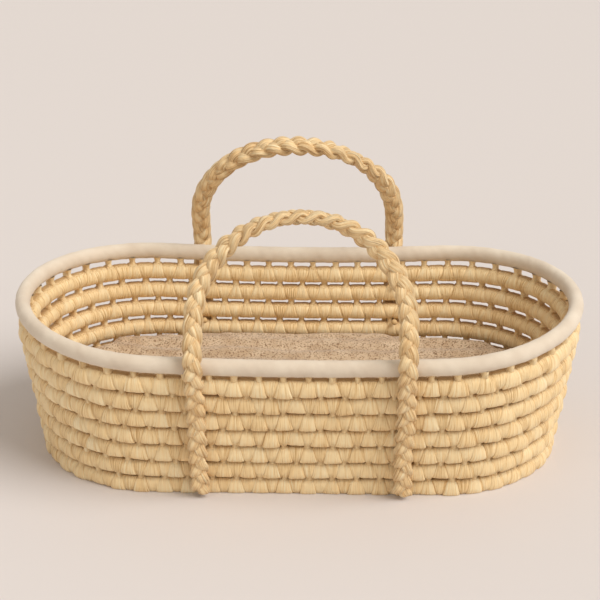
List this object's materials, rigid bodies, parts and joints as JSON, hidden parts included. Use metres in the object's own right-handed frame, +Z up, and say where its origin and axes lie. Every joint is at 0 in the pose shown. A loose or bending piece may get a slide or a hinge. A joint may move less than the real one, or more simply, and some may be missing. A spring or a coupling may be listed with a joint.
{
  "type": "moses basket",
  "caption": "Oval coiled-husk baby basket with a fabric-bound rim, hinged braided carry handles and a lift-out padded mattress.",
  "frame": {"origin": "middle of the underside of the base", "axes": "+X along the basket's length, +Y across it towards the back handle, +Z up"},
  "size_m": [0.8246, 0.4546, 0.4252],
  "materials": {
    "husk": "matte",
    "stitch": "matte",
    "braid": "matte",
    "binding": "matte",
    "cover": "matte",
    "foam": "matte",
    "zip": "matte"
  },
  "bodies": {
    "basket": {"base_centre_coil": "husk", "base_coil_1": "husk", "base_coil_2": "husk", "base_coil_3": "husk", "base_coil_4": "husk", "base_coil_5": "husk", "base_coil_6": "husk", "base_stitches": "stitch", "wall_coil_1": "husk", "wall_coil_2": "husk", "wall_coil_3": "husk", "wall_coil_4": "husk", "wall_coil_5": "husk", "wall_coil_6": "husk", "wall_coil_7": "husk", "wall_stitches_1": "stitch", "wall_stitches_2": "stitch", "wall_stitches_3": "stitch", "wall_stitches_4": "stitch", "wall_stitches_5": "stitch", "wall_stitches_6": "stitch", "wall_stitches_7": "stitch", "rim_coil": "husk", "rim_binding": "binding", "front_left_leg": "braid", "front_left_tuck": "braid", "front_left_ties": "stitch", "front_right_leg": "braid", "front_right_tuck": "braid", "front_right_ties": "stitch", "back_left_leg": "braid", "back_left_tuck": "braid", "back_left_ties": "stitch", "back_right_leg": "braid", "back_right_tuck": "braid", "back_right_ties": "stitch"},
    "front_handle": {"front_handle_arch": "braid"},
    "back_handle": {"back_handle_arch": "braid"},
    "mattress": {"mattress_foam": "foam", "mattress_cover_base": "cover", "mattress_cover_top": "cover", "mattress_zip": "zip", "zip_puller": "zip"}
  },
  "joints": [
    {"name": "front_handle_fold", "type": "hinge", "parent": "basket", "child": "front_handle", "pos_m": [0, -0.2207, 0.232], "axis": [1, 0, 0], "range_deg": [-40, 125]},
    {"name": "back_handle_fold", "type": "hinge", "parent": "basket", "child": "back_handle", "pos_m": [0, 0.2207, 0.232], "axis": [-1, 0, 0], "range_deg": [-40, 125]},
    {"name": "mattress_lift", "type": "slide", "parent": "basket", "child": "mattress", "axis": [0, 0, 1], "range_m": [0, 0.1]}
  ]
}
